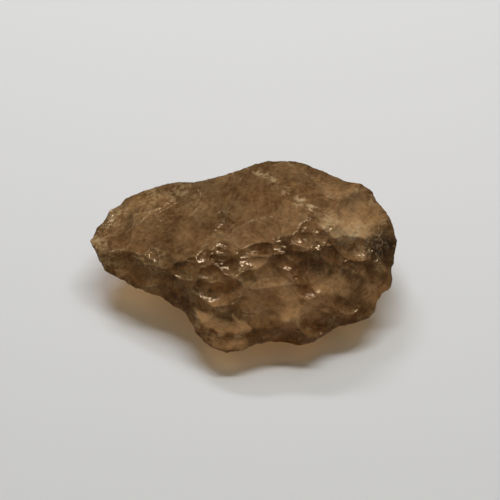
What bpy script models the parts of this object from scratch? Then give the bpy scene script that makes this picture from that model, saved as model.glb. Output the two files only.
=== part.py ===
"""Rough chunk of smoky quartz: one broken natural stone, metres, +Z up, resting on its own flat broken base.

The stone is cleaved on two sides of one sharp edge that runs all the way round it.  That edge lies near a
sloping plane that rises towards the back, so the stone is laid out in it: U to the right, V up the slope and
W square off it.  Each side starts as a few flat breaks and is then knapped, one flake scar after another,
each into what is left.
"""
import math

import bpy
import bmesh
import numpy as np
from mathutils import Vector
from mathutils.geometry import delaunay_2d_cdt

for old in list(bpy.data.objects):
    bpy.data.objects.remove(old, do_unlink=True)

MM = 0.001
RIM_SLOPE = math.radians(35.0)      # the plane of the rim, rising to the back
CS = math.cos(RIM_SLOPE)
SN = math.sin(RIM_SLOPE)
TOP_GRAIN = 0.95                    # mesh size on the upper side, mm
BASE_GRAIN = 1.35                   # and on the underside
RIM_GRAIN = 1.0
FEEL = 2.2                          # how much of the old surface a flake lifts off square to, mm
SEED = 7

# The rim seen square on: U and V in mm, and its height over the table.
RIM = [
    (-35.1, 3.4, 14), (-34.4, 5.4, 14), (-32.2, 8.4, 14.2), (-31.0, 10.4, 14.4), (-28.5, 11.8, 14.7),
    (-27.4, 13.1, 15), (-24.0, 14.7, 15.5), (-20.4, 15.9, 16.5), (-17.2, 16.7, 17), (-14.9, 17.1, 17.5),
    (-12.5, 16.9, 18), (-9.1, 17.4, 18.5), (-5.4, 18.3, 19.5), (-0.9, 19.7, 20.5), (2.7, 21.1, 21.5),
    (5.4, 21.8, 22), (8.6, 21.7, 22), (11.6, 21.8, 22), (15.9, 20.4, 21.5), (19.9, 18.6, 21),
    (22.6, 17.4, 20), (26.3, 16.8, 19), (29.2, 14.9, 17.5), (30.1, 12.9, 16.5), (32.2, 10.4, 15.5),
    (33.5, 8.2, 15), (34.7, 4.5, 14), (34.9, 2.3, 13.5), (34.4, -0.5, 13), (33.5, -2.7, 12.5),
    (33.6, -5.4, 11.5), (33.3, -7.2, 11), (31.3, -8.6, 10.5), (30.1, -10.2, 10), (29.4, -13.1, 9),
    (27.2, -14.7, 8.5), (24.0, -15.4, 7.8), (20.8, -16.1, 7.2), (18.8, -17.4, 6.8), (15.9, -19.3, 6.4),
    (12.7, -20.2, 6.0), (10.4, -19.8, 6.0), (7.5, -19.3, 6.4), (3.6, -19.7, 6.8), (1.4, -20.8, 6.8),
    (-1.4, -21.5, 6.8), (-4.1, -21.7, 6.8), (-6.3, -21.2, 7), (-8.6, -19.7, 7.2), (-10.9, -17.4, 7.5),
    (-11.8, -15.4, 8), (-13.1, -13.4, 8.5), (-16.3, -11.1, 9), (-18.1, -9.7, 9.5), (-22.2, -8.2, 10),
    (-24.9, -7.2, 10.3), (-27.2, -5.7, 10.5), (-31.5, -3.6, 12), (-32.8, -1.4, 12.8), (-34.0, 0.5, 13.4),
    (-34.9, 2.0, 13.8),
]

# First breaks: a point each one passes through (U, V, height) in mm, the bearing it faces (0 right, 90 back)
# and its tilt from level in degrees; past 90 it faces down.
TOP_BREAKS = [
    (4.8, 21.5, 22.0, 75, 14.5),    # back right shoulder
    (4.8, 21.5, 22.0, 112, 15),     # back middle
    (-14.5, 12.7, 18.3, 176, 14),   # long left flat
    (-28.5, 3.6, 15.6, 194, 28),    # left end
    (-16.8, -1.8, 18.0, 237, 56),   # front left
    (-6.6, -1.4, 22.5, 270, 48),    # front
    (14.9, 2.5, 25.5, 303, 52),     # front right
    (29.7, 4.8, 18.3, 350, 46),     # right end
    (33.1, -4.3, 12.4, 322, 50),
]
UNDER_BREAKS = [
    (0.0, 0.0, 0.0, 0, 180),        # the flat it rests on
    (1.4, -10.0, 0.0, 279, 166),
    (-12.2, 1.4, 0.0, 156, 151),
    (14.9, 3.6, 0.0, 8, 149),
    (-3.2, 9.3, 0.0, 97, 94),
    (5.9, 9.3, 0.0, 77, 96),
    (-10.0, -5.4, 0.0, 212, 154),
]

# Flake scars in the order they came off: where struck (U, V), depth, radius of the dish, how far it leans to
# the right and up the slope from the old surface, how much longer than wide it is and the way it runs,
# degrees.
TOP_SCARS = [
    (-22.5, 12.0, 1.2, 16, 0.05, -0.30, 2.4, 17),   # strip along the back left rim
    (-17.5, 9.5, 0.6, 9, 0.00, 0.10, 2.4, 28),      # long grooves beside it
    (-11.5, 12.5, 0.7, 11, 0.10, 0.05, 2.0, 32),
    (-29.5, 6.0, 0.9, 13, -0.10, 0.05, 1.5, 70),
    (-3.5, 13.0, 0.5, 90, 0.00, 0.00, 1.6, 15),
    (0.5, 4.5, 0.5, 26, -0.05, 0.05, 1.5, 25),
    (16.5, 12.0, 0.3, 120, 0.00, 0.00, 1.5, -20),
    (24.5, 12.0, 0.5, 14, 0.05, 0.00, 2.0, 75),     # upper right
    (14.5, -14.0, 0.9, 13, -0.08, 0.05, 1.5, 30),
    (27.5, -7.0, 0.9, 14, 0.05, 0.00, 1.4, 60),
    (-12.5, -7.5, 0.8, 18, 0.00, 0.05, 1.6, -35),
    (-21.5, -3.0, 0.7, 18, 0.00, 0.00, 1.7, -25),
    (-27.5, -1.0, 0.8, 7, 0.00, 0.00, 1.4, 70),
    (-33.0, 4.5, 0.7, 8, -0.10, 0.00, 1.5, 60),
    (30.5, 7.5, 0.9, 7, 0.00, 0.00, 1.3, 100),
    (31.2, 1.3, 1.0, 6, 0.00, 0.00, 1.4, 90),
    (2.5, -18.5, 0.9, 6, 0.00, 0.20, 1.8, 5),
]
UNDER_SCARS = [
    (-21.0, 0.0, 1.2, 26, 0.00, 0.00, 1.5, 20),
    (24.0, -2.0, 1.3, 24, 0.00, 0.00, 1.4, -60),
    (2.0, -16.0, 0.9, 22, 0.00, 0.00, 1.8, 5),
    (-6.0, 13.5, 1.4, 16, 0.00, 0.00, 1.6, 10),
    (7.0, 15.0, 1.5, 18, 0.10, 0.00, 1.3, -10),
    (18.0, 12.5, 1.2, 13, 0.00, 0.00, 1.5, -25),
    (-17.5, 9.0, 1.1, 15, 0.00, 0.00, 1.6, 20),
    (-27.0, 7.0, 0.9, 10, 0.00, 0.00, 1.4, 40),
    (28.0, 6.0, 1.0, 10, 0.00, 0.00, 1.3, -60),
    (14.0, -13.0, 0.9, 14, 0.00, 0.00, 1.4, 20),
    (-12.0, -9.0, 0.9, 12, 0.00, 0.00, 1.5, -40),
    (24.0, -10.5, 0.8, 10, 0.00, 0.00, 1.4, 0),
]
# The freshest scars on top, struck after the small chips, so their edges are still whole.
FRESH_SCARS = [
    (-18.5, 4.0, 0.7, 60, 0.00, 0.00, 1.4, 10),     # dished left flat
    (-5.6, 7.6, 0.2, 5, -0.25, 0.10, 1.6, 60),      # short bright break in the middle
    (12.5, 3.0, 0.6, 6, -0.10, -0.10, 1.4, 10),
    (-4.6, -1.6, 1.0, 10, 0.00, 0.20, 1.3, 12),
    (5.8, -1.6, 1.5, 11, 0.00, 0.22, 1.35, 6),      # hollow under the bright brow
    (-5.2, -6.3, 0.8, 13, 0.10, 0.15, 1.3, -20),
    (16.5, -4.5, 0.9, 16, -0.05, 0.10, 1.3, -60),
    (23.3, -0.6, 0.9, 9, -0.05, -0.15, 1.5, -20),
    (23.0, -8.0, 0.6, 24, 0.05, -0.05, 1.3, 25),
    (6.3, -10.4, 1.2, 19, 0.00, 0.02, 1.05, 0),     # big round scar in front
    (-4.2, -14.6, 0.7, 14, 0.15, 0.20, 1.5, -14),   # thin window at the front left
]
TOP_CHIPS = 70                      # small chips knocked off the crests, after the first scars
LATE_CHIPS = 60                     # and after the fresh ones
UNDER_CHIPS = 40
CHIP_DEPTH = (0.03, 0.3)            # mm
CHIP_RADIUS = (0.8, 2.2)            # natural logarithm of the radius of the dish in mm
CHIP_LEAN = 0.12
CHIP_LONG = (1.0, 1.4)
CHIP_FEEL = 1.0                     # as FEEL, for a small chip
CHIP_PROBE = 0.7                    # how far round a spot its sharpness is felt, mm
CHIP_SHARP = 0.13                   # how far a crest stands proud before it chips, mm
CHIP_CREST = 0.12                   # how close to the next surface a spot is to lie on a crest, mm
CHIP_INLAND = 1.5                   # how far inside the rim a chip starts, mm
CHIP_ABOVE = 1.2                    # and how high over the table

SCALLOP = (0.3, 1.8)                # natural logarithm of a scallop's length along the rim in mm
LAST_SCALLOP = 6.5                  # the longest that closes the ring, mm
SCALLOP_BITE = (0.02, 0.12)         # its depth for each mm of its length
BACK_V = 8.0                        # the rim above this V is the calm back edge,
BACK_BITE = 0.5                     # where scallops are this much shallower
RIM_SPARE = 0.4                     # stone left above and below the rim line, mm
RIM_EASE = 6                        # rounds of smoothing along it
RIM_CHIP_TOP = (0.6, 1.5)           # how steeply the chips fall away from the rim
RIM_CHIP_UNDER = (0.7, 2.2)
RIM_CHIP_RADIUS = (2.5, 9.0)        # mm
REACH_U = 36                        # half of the laid-out field, mm
REACH_V = 23


def laid(u, v, rows):
    """Height off the rim plane of every facet and dish in rows, at every (u, v)."""
    p = np.asarray(rows)
    du = u[:, None] - p[:, 0]
    dv = v[:, None] - p[:, 1]
    return p[:, 2] + p[:, 3] * du + p[:, 4] * dv + p[:, 5] * du * du + p[:, 6] * du * dv + p[:, 7] * dv * dv


def skin(u, v, rows, side):
    """The surface that is left: the lowest of the upper side's rows, or the highest of the underside's."""
    return (laid(u, v, rows) * side).min(axis=1) * side


def flat(u, v, z, bearing, tilt):
    """A flat break through (u, v) at height z over the table."""
    a = math.radians(bearing)
    t = math.radians(tilt)
    n_u = math.sin(t) * math.cos(a)
    n_y = math.sin(t) * math.sin(a)
    n_z = math.cos(t)
    n_v = n_y * CS + n_z * SN
    n_w = n_z * CS - n_y * SN
    return (u, v, (z - v * SN) / CS, -n_u / n_w, -n_v / n_w, 0.0, 0.0, 0.0)


def bowl(u, v, w, slope_u, slope_v, radius, side, long=1.0, turn=0.0):
    """A shallow dish whose floor passes through (u, v, w) with these slopes."""
    c = math.cos(math.radians(turn))
    s = math.sin(math.radians(turn))
    k = side * (1.0 + 0.5 * (slope_u ** 2 + slope_v ** 2)) / (2.0 * radius)
    a = k / long ** 2
    return (u, v, w, slope_u, slope_v, a * c * c + k * s * s, 2.0 * (a - k) * c * s, a * s * s + k * c * c)


def strike(rows, side, u, v, depth, radius, lean_u, lean_v, long=1.0, turn=0.0, feel=FEEL):
    """Knock one flake off: the dish is square to the old surface about the blow, leaned and sunk by depth."""
    ring = np.radians(np.arange(0, 360, 30))
    ru = np.concatenate([[0.0], feel * np.cos(ring), 0.5 * feel * np.cos(ring)])
    rv = np.concatenate([[0.0], feel * np.sin(ring), 0.5 * feel * np.sin(ring)])
    old = skin(u + ru, v + rv, rows, side)
    fit = np.linalg.lstsq(np.stack([np.ones_like(ru), ru, rv], axis=1), old, rcond=None)[0]
    rows.append(bowl(u, v, old[0] - side * depth, fit[1] + side * lean_u, fit[2] + side * lean_v,
                     radius, side, long, turn))


def inside_and_gap(u, v, loop):
    """Whether each point is inside the rim, and how far from it."""
    a = loop
    b = np.roll(loop, -1, axis=0)
    inside = np.zeros(len(u), bool)
    gap = np.full(len(u), 1e9)
    for (au, av), (bu, bv) in zip(a, b):
        crosses = (av > v) != (bv > v)
        if av != bv:
            inside ^= crosses & (u < (bu - au) * (v - av) / (bv - av) + au)
        t = np.clip(((u - au) * (bu - au) + (v - av) * (bv - av)) / ((bu - au) ** 2 + (bv - av) ** 2), 0, 1)
        gap = np.minimum(gap, np.hypot(u - au - t * (bu - au), v - av - t * (bv - av)))
    return inside, gap


def crest_chips(rows, side, count, loop, rng):
    """Small chips off the crests, where two surfaces meet at a clear angle."""
    for k in range(count):
        while True:
            u = rng.uniform(-35, 35, 400)
            v = rng.uniform(-22, 22, 400)
            ok, gap = inside_and_gap(u, v, loop)
            h = np.sort(laid(u, v, rows) * side, axis=1)
            around = skin(u + CHIP_PROBE, v, rows, side) + skin(u - CHIP_PROBE, v, rows, side)
            around = around + skin(u, v + CHIP_PROBE, rows, side) + skin(u, v - CHIP_PROBE, rows, side)
            sharp = side * (skin(u, v, rows, side) - around / 4)
            ok &= (gap > CHIP_INLAND) & (h[:, 1] - h[:, 0] < CHIP_CREST) & (sharp > CHIP_SHARP)
            if side < 0:
                ok &= v * SN + skin(u, v, rows, side) * CS > CHIP_ABOVE
            if ok.any():
                break
        n = np.argmax(ok)
        depth = rng.uniform(*CHIP_DEPTH)
        radius = math.exp(rng.uniform(*CHIP_RADIUS))
        lean_u = rng.normal(0, CHIP_LEAN)
        lean_v = rng.normal(0, CHIP_LEAN)
        long = rng.uniform(*CHIP_LONG)
        strike(rows, side, u[n], v[n], depth, radius, lean_u, lean_v, long, rng.uniform(0, 180), CHIP_FEEL)


# The rim: small scallops between sharp points, all the way round.
rng = np.random.default_rng(SEED)
corners = np.array([(u, v) for u, v, z in RIM])
edge_w = np.array([(z - v * SN) / CS for u, v, z in RIM])
run = np.concatenate([[0.0], np.cumsum(np.hypot(*(np.roll(corners, -1, axis=0) - corners).T))])
cuts = [0.0]
while cuts[-1] < run[-1] - LAST_SCALLOP:
    cuts.append(cuts[-1] + math.exp(rng.uniform(*SCALLOP)))
cuts.append(run[-1])
rim_u = []
rim_v = []
rim_w = []
notch = []
for start, end in zip(cuts[:-1], cuts[1:]):
    steps = max(2, math.ceil((end - start) / RIM_GRAIN))
    t = np.arange(steps) / steps
    s = start + t * (end - start)
    pu = np.interp(s, run, np.append(corners[:, 0], corners[0, 0]))
    pv = np.interp(s, run, np.append(corners[:, 1], corners[0, 1]))
    ahead_u = np.interp(end, run, np.append(corners[:, 0], corners[0, 0])) - pu[0]
    ahead_v = np.interp(end, run, np.append(corners[:, 1], corners[0, 1])) - pv[0]
    span = math.hypot(ahead_u, ahead_v)
    inward = (ahead_v / span, -ahead_u / span)
    deep = BACK_BITE if pv[0] > BACK_V else 1.0
    bite = deep * span * rng.uniform(*SCALLOP_BITE) * (1 - (2 * t - 1) ** 2)
    notch.append((inward, len(rim_u) + steps // 2))
    rim_u.extend(pu + inward[0] * bite)
    rim_v.extend(pv + inward[1] * bite)
    rim_w.extend(np.interp(s, run, np.append(edge_w, edge_w[0])))
rim_u = np.array(rim_u)
rim_v = np.array(rim_v)
rim = np.stack([rim_u, rim_v], axis=1)

# Knap both sides, then bring the rim in between them.
top = [flat(*f) for f in TOP_BREAKS]
under = [flat(*f) for f in UNDER_BREAKS]
for s in TOP_SCARS:
    strike(top, 1, *s)
for s in UNDER_SCARS:
    strike(under, -1, *s)
high = skin(rim_u, rim_v, top, 1)
low = skin(rim_u, rim_v, under, -1)
middle = (low + high) / 2
rim_w = np.clip(rim_w, np.minimum(low + RIM_SPARE, middle), np.maximum(high - RIM_SPARE, middle))
for k in range(RIM_EASE):
    rim_w = (np.roll(rim_w, 1) + 2 * rim_w + np.roll(rim_w, -1)) / 4

# Chips along the rim on both sides, one to a scallop, then on the crests.
for inward, n in notch:
    before = (n - 2) % len(rim)
    after = (n + 2) % len(rim)
    step = rim[after] - rim[before]
    rise = (rim_w[after] - rim_w[before]) / math.hypot(*step)
    along = (-inward[1], inward[0])
    if np.dot(along, step) < 0:
        rise = -rise
    steep_top = rng.uniform(*RIM_CHIP_TOP)
    steep_under = rng.uniform(*RIM_CHIP_UNDER)
    for rows, side, steep in ((top, 1, steep_top), (under, -1, steep_under)):
        slope_u = along[0] * rise + inward[0] * steep * side
        slope_v = along[1] * rise + inward[1] * steep * side
        rows.append(bowl(rim_u[n], rim_v[n], rim_w[n], slope_u, slope_v, rng.uniform(*RIM_CHIP_RADIUS), side))
crest_chips(top, 1, TOP_CHIPS, rim, rng)
for s in FRESH_SCARS:
    strike(top, 1, *s)
crest_chips(top, 1, LATE_CHIPS, rim, rng)
crest_chips(under, -1, UNDER_CHIPS, rim, rng)


ROW_STEP = 0.866                    # rows of a triangular grid
CLEAR_CREST = 0.006                 # square of the slope change from which a crest is followed
THIN_SLOPE = 0.9                    # least thickness for each mm inside the rim,
THIN_MOST = 1.5                     # up to this, mm
STEEPEST = 4                        # the steepest a skin leaves the rim
SMOOTH_BELOW = math.radians(22)     # edges that turn less are shaded smooth


def points(grain, loop, rows, side):
    """A grid of points inside the rim, with those beside a crest slid onto it."""
    u, v = np.meshgrid(np.arange(-REACH_U, REACH_U, grain), np.arange(-REACH_V, REACH_V, grain * ROW_STEP))
    u = (u + (np.arange(len(v)) % 2)[:, None] * grain / 2).ravel()
    v = v.ravel()
    for k in range(2):
        p = np.asarray(rows)
        h = laid(u, v, rows) * side
        order = np.argsort(h, axis=1)[:, :2]
        first = order[:, 0]
        second = order[:, 1]
        apart = np.take_along_axis(h, order, axis=1)
        apart = (apart[:, 1] - apart[:, 0]) * side
        grads = []
        for n in (first, second):
            du = u - p[n, 0]
            dv = v - p[n, 1]
            fall_u = p[n, 3] + 2 * p[n, 5] * du + p[n, 6] * dv
            fall_v = p[n, 4] + p[n, 6] * du + 2 * p[n, 7] * dv
            grads.append((fall_u, fall_v))
        gu = grads[1][0] - grads[0][0]
        gv = grads[1][1] - grads[0][1]
        steep = gu * gu + gv * gv + 1e-9
        move = np.abs(apart) / np.sqrt(steep)
        near = (move < 0.5 * grain) & (steep > CLEAR_CREST)
        u = np.where(near, u - apart * gu / steep, u)
        v = np.where(near, v - apart * gv / steep, v)
    inside, gap = inside_and_gap(u, v, loop)
    keep = inside & (gap > 0.45 * grain)
    order = np.argsort(~near[keep], kind="stable")
    u = u[keep][order]
    v = v[keep][order]
    left = []
    cells = {}
    for n in range(len(u)):
        cu = math.floor(u[n] / grain)
        cv = math.floor(v[n] / grain)
        close = [m for i in (-1, 0, 1) for j in (-1, 0, 1) for m in cells.get((cu + i, cv + j), [])]
        if all(math.hypot(u[n] - u[m], v[n] - v[m]) > 0.5 * grain for m in close):
            cells.setdefault((cu, cv), []).append(n)
            left.append(n)
    return u[left], v[left]


def side_mesh(bm, rim_verts, grain, side):
    """One skin of the stone, sewn to the rim."""
    rows = top if side > 0 else under
    u, v = points(grain, rim, rows, side)
    inside, gap = inside_and_gap(u, v, rim)
    upper = skin(u, v, top, 1)
    lower = skin(u, v, under, -1)
    thin = np.clip(np.minimum(THIN_SLOPE * gap, THIN_MOST) - (upper - lower), 0, None)
    near = np.argmin(np.hypot(u[:, None] - rim_u, v[:, None] - rim_v), axis=1)
    if side > 0:
        w = np.minimum(upper + thin / 2, rim_w[near] + STEEPEST * gap)
    else:
        w = np.maximum(lower - thin / 2, rim_w[near] - STEEPEST * gap)
    flat_points = [Vector(p) for p in zip(rim_u, rim_v)] + [Vector(p) for p in zip(u, v)]
    out = delaunay_2d_cdt(flat_points, [], [list(range(len(rim_u)))], 1, 1e-7)
    verts = list(rim_verts)
    for pu, pv, pw in zip(u, v, w):
        verts.append(bm.verts.new(placed(pu, pv, pw)))
    for tri in out[2]:
        old = [out[3][n][0] for n in tri]
        corner = [verts[n] for n in (old if side > 0 else reversed(old))]
        bm.faces.new(corner)


def placed(u, v, w):
    """From the rim plane to the world, mm."""
    z = v * SN + w * CS
    return (u, v * CS - w * SN, 0.0 if abs(z) < 1e-6 else z)


# The solid: both skins are sewn to the rim and set down with the middle of the stone over the origin.
bm = bmesh.new()
rim_verts = [bm.verts.new(placed(*p)) for p in zip(rim_u, rim_v, rim_w)]
side_mesh(bm, rim_verts, TOP_GRAIN, 1)
side_mesh(bm, rim_verts, BASE_GRAIN, -1)
low = [min(v.co[k] for v in bm.verts) for k in range(3)]
high = [max(v.co[k] for v in bm.verts) for k in range(3)]
middle = Vector(((low[0] + high[0]) / 2, (low[1] + high[1]) / 2, low[2]))
for v in bm.verts:
    v.co = (v.co - middle) * MM
bmesh.ops.dissolve_degenerate(bm, dist=1e-6, edges=bm.edges)
bmesh.ops.triangulate(bm, faces=bm.faces)
bmesh.ops.recalc_face_normals(bm, faces=bm.faces)
for f in bm.faces:
    f.smooth = True
for e in bm.edges:
    e.smooth = e.calc_face_angle(3.0) < SMOOTH_BELOW
mesh = bpy.data.meshes.new("smoky_quartz_chunk")
bm.to_mesh(mesh)
bm.free()
stone = bpy.data.objects.new("smoky_quartz_chunk", mesh)
bpy.context.scene.collection.objects.link(stone)

quartz = bpy.data.materials.new("smoky_quartz")
quartz.use_nodes = True
bsdf = quartz.node_tree.nodes["Principled BSDF"]
bsdf.inputs["Base Color"].default_value = (0.20, 0.13, 0.075, 1.0)
bsdf.inputs["Roughness"].default_value = 0.12
bsdf.inputs["IOR"].default_value = 1.544
bsdf.inputs["Transmission Weight"].default_value = 0.6
mesh.materials.append(quartz)
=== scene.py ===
import math

import bpy
import bmesh
import numpy as np
from mathutils import Matrix, Vector, noise
from mathutils.geometry import delaunay_2d_cdt


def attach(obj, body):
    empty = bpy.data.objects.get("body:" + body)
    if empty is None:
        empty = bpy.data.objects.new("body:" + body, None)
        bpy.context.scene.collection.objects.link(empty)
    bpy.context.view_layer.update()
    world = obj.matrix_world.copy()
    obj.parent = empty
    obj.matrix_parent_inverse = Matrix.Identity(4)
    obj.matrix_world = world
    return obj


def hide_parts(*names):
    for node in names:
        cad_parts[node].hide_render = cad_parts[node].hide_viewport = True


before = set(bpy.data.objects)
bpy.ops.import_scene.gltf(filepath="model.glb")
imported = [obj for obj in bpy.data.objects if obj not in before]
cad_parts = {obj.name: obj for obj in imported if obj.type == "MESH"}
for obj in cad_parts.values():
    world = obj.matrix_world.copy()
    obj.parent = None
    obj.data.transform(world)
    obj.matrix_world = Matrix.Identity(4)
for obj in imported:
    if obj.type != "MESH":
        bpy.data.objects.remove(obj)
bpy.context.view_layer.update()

# ---- The stone ---------------------------------------------------------------------------------------------
# One natural piece of smoky quartz, broken out of a larger crystal: shell-shaped (conchoidal) scars and no
# crystal faces. It is made as it broke: a few flat breaks, then flake after flake, each into what is left.
# Two sides meet in one sharp edge. U is to the right, V up the slope of that edge and W square off it, in mm.
MM = 0.001
HOME = (-0.1517, -9.3465)           # middle of the outer box as laid out here, U and level depth, mm
RIM_SLOPE = math.radians(35.0)      # the plane of the rim, rising to the back
CS = math.cos(RIM_SLOPE)
SN = math.sin(RIM_SLOPE)
TOP_GRAIN = 0.23    # mesh size on the upper side, mm
UNDER_GRAIN = 0.36  # and on the underside
RIM_STEP = 0.3                      # and along the finished rim
RIM_GRAIN = 1.0                     # spacing of the rim's points while it is knapped, mm
FEEL = 2.2                          # how much of the old surface a flake lifts off square to, mm
FAR = 1e9                           # farther than anything here, mm
SEED = 7

# The rim seen square on: U and V in mm, and its height over the table.
RIM = [
    (-35.1, 3.4, 14), (-34.4, 5.4, 14), (-32.2, 8.4, 14.2), (-31.0, 10.4, 14.4), (-28.5, 11.8, 14.7),
    (-27.4, 13.1, 15), (-24.0, 14.7, 15.5), (-20.4, 15.9, 16.5), (-17.2, 16.7, 17), (-14.9, 17.1, 17.5),
    (-12.5, 16.9, 18), (-9.1, 17.4, 18.5), (-5.4, 18.3, 19.5), (-0.9, 19.7, 20.5), (2.7, 21.1, 21.5),
    (5.4, 21.8, 22), (8.6, 21.7, 22), (11.6, 21.8, 22), (15.9, 20.4, 21.5), (19.9, 18.6, 21),
    (22.6, 17.4, 20), (26.3, 16.8, 19), (29.2, 14.9, 17.5), (30.1, 12.9, 16.5), (32.2, 10.4, 15.5),
    (33.5, 8.2, 15), (34.7, 4.5, 14), (34.9, 2.3, 13.5), (34.4, -0.5, 13), (33.5, -2.7, 12.5),
    (33.6, -5.4, 11.5), (33.3, -7.2, 11), (31.3, -8.6, 10.5), (30.1, -10.2, 10), (29.4, -13.1, 9),
    (27.2, -14.7, 8.5), (24.0, -15.4, 7.8), (20.8, -16.1, 7.2), (18.8, -17.4, 6.8), (15.9, -19.3, 6.4),
    (12.7, -20.2, 6.0), (10.4, -19.8, 6.0), (7.5, -19.3, 6.4), (3.6, -19.7, 6.8), (1.4, -20.8, 6.8),
    (-1.4, -21.5, 6.8), (-4.1, -21.7, 6.8), (-6.3, -21.2, 7), (-8.6, -19.7, 7.2), (-10.9, -17.4, 7.5),
    (-11.8, -15.4, 8), (-13.1, -13.4, 8.5), (-16.3, -11.1, 9), (-18.1, -9.7, 9.5), (-22.2, -8.2, 10),
    (-24.9, -7.2, 10.3), (-27.2, -5.7, 10.5), (-31.5, -3.6, 12), (-32.8, -1.4, 12.8), (-34.0, 0.5, 13.4),
    (-34.9, 2.0, 13.8),
]

# First breaks: a point each one passes through (U, V, height) in mm, the bearing it faces (0 right, 90 back)
# and its tilt from level in degrees; past 90 it faces down.
TOP_BREAKS = [
    (4.8, 21.5, 22.0, 75, 14.5),    # back right shoulder
    (4.8, 21.5, 22.0, 112, 15),     # back middle
    (-14.5, 12.7, 18.3, 176, 14),   # long left flat
    (-28.5, 3.6, 15.6, 194, 28),    # left end
    (-16.8, -1.8, 18.0, 237, 56),   # front left
    (-6.6, -1.4, 22.5, 270, 48),    # front
    (14.9, 2.5, 25.5, 303, 52),     # front right
    (29.7, 4.8, 18.3, 350, 46),     # right end
    (33.1, -4.3, 12.4, 322, 50),
]
UNDER_BREAKS = [
    (0.0, 0.0, 0.0, 0, 180),        # the flat it rests on
    (1.4, -10.0, 0.0, 279, 166),
    (-12.2, 1.4, 0.0, 156, 151),
    (14.9, 3.6, 0.0, 8, 149),
    (-3.2, 9.3, 0.0, 97, 94),
    (5.9, 9.3, 0.0, 77, 96),
    (-10.0, -5.4, 0.0, 212, 154),
]

# Flake scars in the order they came off: where struck (U, V), depth, radius of the dish, how far it leans to
# the right and up the slope from the old surface, how much longer than wide it is, and its turn in degrees.
TOP_SCARS = [
    (-22.5, 12.0, 1.2, 16, 0.05, -0.30, 2.4, 17),   # strip along the back left rim
    (-17.5, 9.5, 0.6, 9, 0.00, 0.10, 2.4, 28),      # long grooves beside it
    (-11.5, 12.5, 0.7, 11, 0.10, 0.05, 2.0, 32),
    (-29.5, 6.0, 0.9, 13, -0.10, 0.05, 1.5, 70),
    (-3.5, 13.0, 0.5, 90, 0.00, 0.00, 1.6, 15),
    (0.5, 4.5, 0.5, 26, -0.05, 0.05, 1.5, 25),
    (16.5, 12.0, 0.3, 120, 0.00, 0.00, 1.5, -20),
    (24.5, 12.0, 0.5, 14, 0.05, 0.00, 2.0, 75),     # upper right
    (14.5, -14.0, 0.9, 13, -0.08, 0.05, 1.5, 30),
    (27.5, -7.0, 0.9, 14, 0.05, 0.00, 1.4, 60),
    (-12.5, -7.5, 0.8, 18, 0.00, 0.05, 1.6, -35),
    (-21.5, -3.0, 0.7, 18, 0.00, 0.00, 1.7, -25),
    (-27.5, -1.0, 0.8, 7, 0.00, 0.00, 1.4, 70),
    (-33.0, 4.5, 0.7, 8, -0.10, 0.00, 1.5, 60),
    (30.5, 7.5, 0.9, 7, 0.00, 0.00, 1.3, 100),
    (31.2, 1.3, 1.0, 6, 0.00, 0.00, 1.4, 90),
    (2.5, -18.5, 0.9, 6, 0.00, 0.20, 1.8, 5),
]
UNDER_SCARS = [
    (-21.0, 0.0, 1.2, 26, 0.00, 0.00, 1.5, 20),
    (24.0, -2.0, 1.3, 24, 0.00, 0.00, 1.4, -60),
    (2.0, -16.0, 0.9, 22, 0.00, 0.00, 1.8, 5),
    (-6.0, 13.5, 1.4, 16, 0.00, 0.00, 1.6, 10),
    (7.0, 15.0, 1.5, 18, 0.10, 0.00, 1.3, -10),
    (18.0, 12.5, 1.2, 13, 0.00, 0.00, 1.5, -25),
    (-17.5, 9.0, 1.1, 15, 0.00, 0.00, 1.6, 20),
    (-27.0, 7.0, 0.9, 10, 0.00, 0.00, 1.4, 40),
    (28.0, 6.0, 1.0, 10, 0.00, 0.00, 1.3, -60),
    (14.0, -13.0, 0.9, 14, 0.00, 0.00, 1.4, 20),
    (-12.0, -9.0, 0.9, 12, 0.00, 0.00, 1.5, -40),
    (24.0, -10.5, 0.8, 10, 0.00, 0.00, 1.4, 0),
]
# The freshest scars on top, struck after the small chips, so their edges are still whole.
FRESH_SCARS = [
    (-18.5, 4.0, 0.7, 60, 0.00, 0.00, 1.4, 10),     # dished left flat
    (-5.6, 7.6, 0.2, 5, -0.25, 0.10, 1.6, 60),      # short bright break in the middle
    (12.5, 3.0, 0.6, 6, -0.10, -0.10, 1.4, 10),
    (-4.6, -1.6, 1.0, 10, 0.00, 0.20, 1.3, 12),
    (5.8, -1.6, 1.5, 11, 0.00, 0.22, 1.35, 6),      # hollow under the bright brow
    (-5.2, -6.3, 0.8, 13, 0.10, 0.15, 1.3, -20),
    (16.5, -4.5, 0.9, 16, -0.05, 0.10, 1.3, -60),
    (23.3, -0.6, 0.9, 9, -0.05, -0.15, 1.5, -20),
    (23.0, -8.0, 0.6, 24, 0.05, -0.05, 1.3, 25),
    (6.3, -10.4, 1.2, 19, 0.00, 0.02, 1.05, 0),     # big round scar in front
    (-4.2, -14.6, 0.7, 14, 0.15, 0.20, 1.5, -14),   # thin window at the front left
]
TOP_CHIPS = 70                      # small chips knocked off the crests, after the first scars
LATE_CHIPS = 60                     # and after the fresh ones
UNDER_CHIPS = 40
CHIP_DEPTH = (0.03, 0.3)            # mm
CHIP_RADIUS = (0.8, 2.2)            # natural logarithm of the radius of the dish in mm
CHIP_LEAN = 0.12
CHIP_LONG = (1.0, 1.4)
CHIP_FEEL = 1.0                     # as FEEL, for a small chip
CHIP_PROBE = 0.7                    # how far round a spot its sharpness is felt, mm
CHIP_SHARP = 0.13                   # how far a crest stands proud before it chips, mm
CHIP_CREST = 0.12                   # how close to the next surface a spot is to lie on a crest, mm
CHIP_INLAND = 1.5                   # how far inside the rim a chip starts, mm
CHIP_ABOVE = 1.2                    # and how high over the table
CHIP_REACH_U = 35                   # half of the field where chips are tried, mm
CHIP_REACH_V = 22
CHIP_THROWS = 400                   # spots tried at a time

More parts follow.
